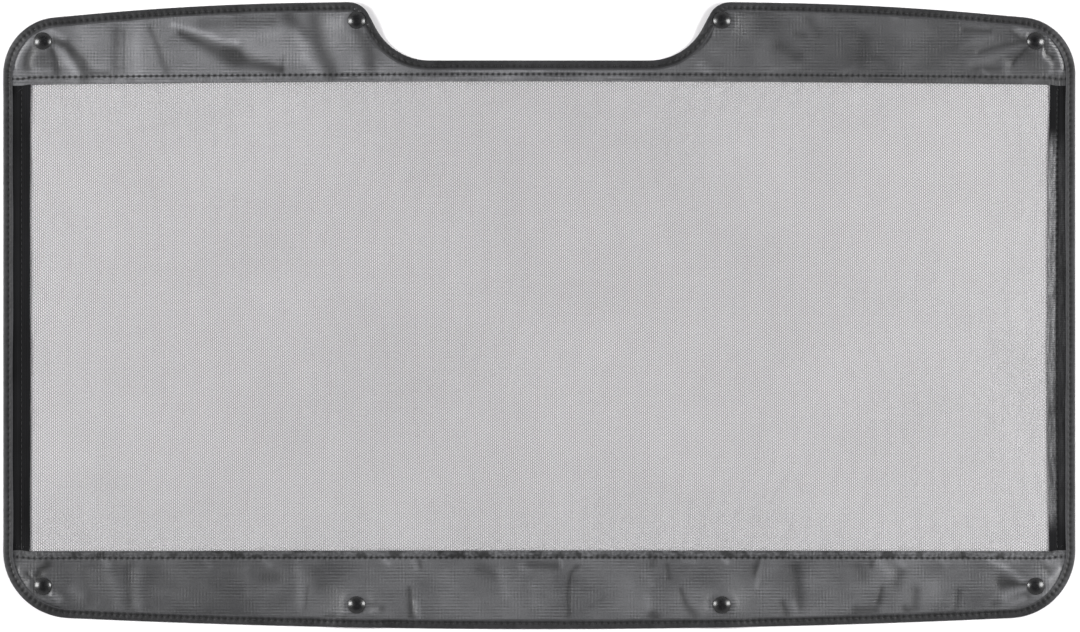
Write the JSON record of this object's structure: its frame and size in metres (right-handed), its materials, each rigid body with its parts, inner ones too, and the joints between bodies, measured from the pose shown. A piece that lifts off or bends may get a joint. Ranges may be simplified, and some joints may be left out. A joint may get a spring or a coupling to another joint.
{
  "type": "press-snap mesh screen",
  "caption": "Flexible see-through mesh screen with coated cloth bands, side webbing, a bound edge, a notched top and press snaps for fastening over an opening.",
  "frame": {"origin": "middle of the screen's box, at the level of the sockets' mouths, on which it lies", "axes": "+X along the long side, +Y towards the notched edge, +Z out of the face, on the side of the caps"},
  "size_m": [0.94, 0.5496, 0.0086],
  "materials": {
    "mesh": "open coated netting, satin",
    "coated_cloth": "coated ribbed cloth with a soft sheen",
    "webbing": "ribbed webbing, satin",
    "binding_tape": "woven tape, matt",
    "thread": "twisted polyester thread",
    "snap_cap": "glossy black",
    "snap_socket": "satin black",
    "spring_wire": "drawn wire"
  },
  "bodies": {
    "root": {"binding_bobbin_thread": "thread", "binding_needle_thread": "thread", "bottom_band_back": "coated_cloth", "bottom_band_face": "coated_cloth", "bottom_hem_bobbin_thread": "thread", "bottom_hem_needle_thread": "thread", "edge_binding": "binding_tape", "left_side_strip": "webbing", "left_strip_bobbin_thread": "thread", "left_strip_needle_thread": "thread", "mesh_panel": "mesh", "right_side_strip": "webbing", "right_strip_bobbin_thread": "thread", "right_strip_needle_thread": "thread", "snap_cap_bottom_left_inner": "snap_cap", "snap_cap_bottom_left_outer": "snap_cap", "snap_cap_bottom_right_inner": "snap_cap", "snap_cap_bottom_right_outer": "snap_cap", "snap_cap_top_left_inner": "snap_cap", "snap_cap_top_left_outer": "snap_cap", "snap_cap_top_right_inner": "snap_cap", "snap_cap_top_right_outer": "snap_cap", "snap_socket_bottom_left_inner": "snap_socket", "snap_socket_bottom_left_outer": "snap_socket", "snap_socket_bottom_right_inner": "snap_socket", "snap_socket_bottom_right_outer": "snap_socket", "snap_socket_top_left_inner": "snap_socket", "snap_socket_top_left_outer": "snap_socket", "snap_socket_top_right_inner": "snap_socket", "snap_socket_top_right_outer": "snap_socket", "snap_spring_bottom_left_inner": "spring_wire", "snap_spring_bottom_left_outer": "spring_wire", "snap_spring_bottom_right_inner": "spring_wire", "snap_spring_bottom_right_outer": "spring_wire", "snap_spring_top_left_inner": "spring_wire", "snap_spring_top_left_outer": "spring_wire", "snap_spring_top_right_inner": "spring_wire", "snap_spring_top_right_outer": "spring_wire", "top_band_back": "coated_cloth", "top_band_face": "coated_cloth", "top_hem_bobbin_thread": "thread", "top_hem_needle_thread": "thread"}
  },
  "joints": []
}
